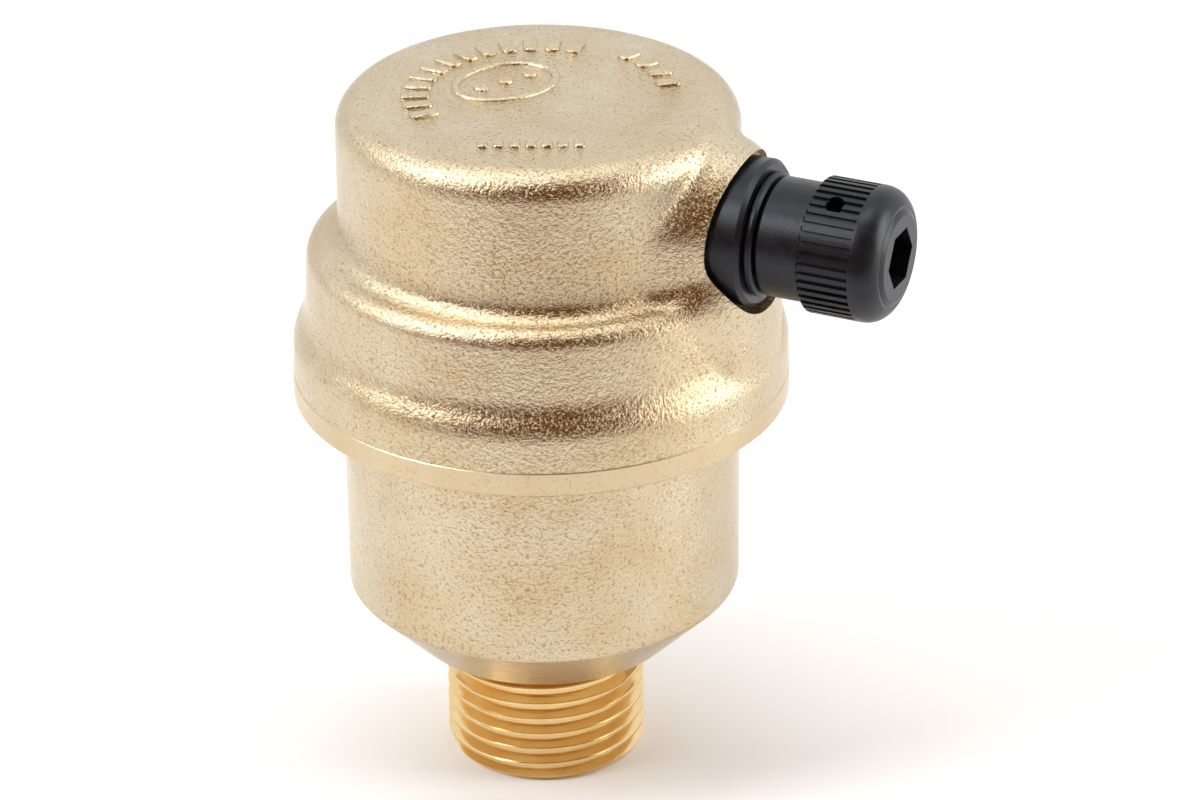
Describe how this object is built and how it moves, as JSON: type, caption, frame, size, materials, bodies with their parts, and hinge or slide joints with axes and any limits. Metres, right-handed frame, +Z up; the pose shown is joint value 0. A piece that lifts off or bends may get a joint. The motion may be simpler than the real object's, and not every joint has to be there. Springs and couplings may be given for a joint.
{
  "type": "automatic air vent",
  "caption": "Brass float chamber on a male pipe thread, with a stepped cover and a plastic side vent head closed by a knurled cap.",
  "frame": {"origin": "centre of the inlet's end face, on the float chamber's axis", "axes": "+Z up the float chamber from the inlet thread to the cover, +X out along the axis of the side vent head"},
  "size_m": [0.0653, 0.0514, 0.0751],
  "materials": {
    "cast_brass": "sand cast and blasted, matt",
    "float_plastic": "natural polypropylene",
    "black_plastic": "satin black nylon",
    "rubber": "moulded rubber",
    "steel": "stainless",
    "machined_brass": "turned bright",
    "white_plastic": "moulded"
  },
  "bodies": {
    "housing": {"lower_body": "cast_brass", "cover": "cast_brass", "body_o_ring": "rubber", "inlet_baffle": "white_plastic", "lever_pivot_pin": "steel", "valve_seat": "machined_brass", "spring_retainer": "white_plastic", "vent_insert": "black_plastic", "insert_o_ring": "rubber", "collar_ring": "black_plastic", "valve_spring": "steel"},
    "float": {"float_shell": "float_plastic", "float_lid": "float_plastic", "float_yoke": "white_plastic"},
    "lever": {"float_lever": "white_plastic", "lever_hook_pin": "steel"},
    "valve": {"valve_stem": "white_plastic", "stem_pin": "steel", "valve_seal": "rubber"},
    "gasket": {"cap_gasket": "rubber"},
    "cap": {"vent_cap": "black_plastic"}
  },
  "joints": [
    {"name": "float_rise", "type": "slide", "parent": "housing", "child": "float", "axis": [0, 0, 1], "range_m": [0, 0.004]},
    {"name": "lever_swing", "type": "hinge", "parent": "housing", "child": "lever", "pos_m": [0.0085, 0, 0.0604], "axis": [0, 1, 0], "range_deg": [0, 27]},
    {"name": "valve_slide", "type": "slide", "parent": "housing", "child": "valve", "axis": [1, 0, 0], "range_m": [0, 0.0017], "deforming": ["valve_spring"]},
    {"name": "cap_travel", "type": "slide", "parent": "housing", "child": "gasket", "axis": [1, 0, 0], "range_m": [0, 0.00125]},
    {"name": "cap_turn", "type": "hinge", "parent": "gasket", "child": "cap", "pos_m": [0.0385, 0, 0.064], "axis": [1, 0, 0], "range_deg": [0, 360]}
  ],
  "couplings": [
    {"joint": "lever_swing", "follows": "float_rise", "rad_per_m": 117.65},
    {"joint": "valve_slide", "follows": "float_rise", "ratio": 0.42353},
    {"joint": "cap_turn", "follows": "cap_travel", "rad_per_m": 5026.5}
  ]
}
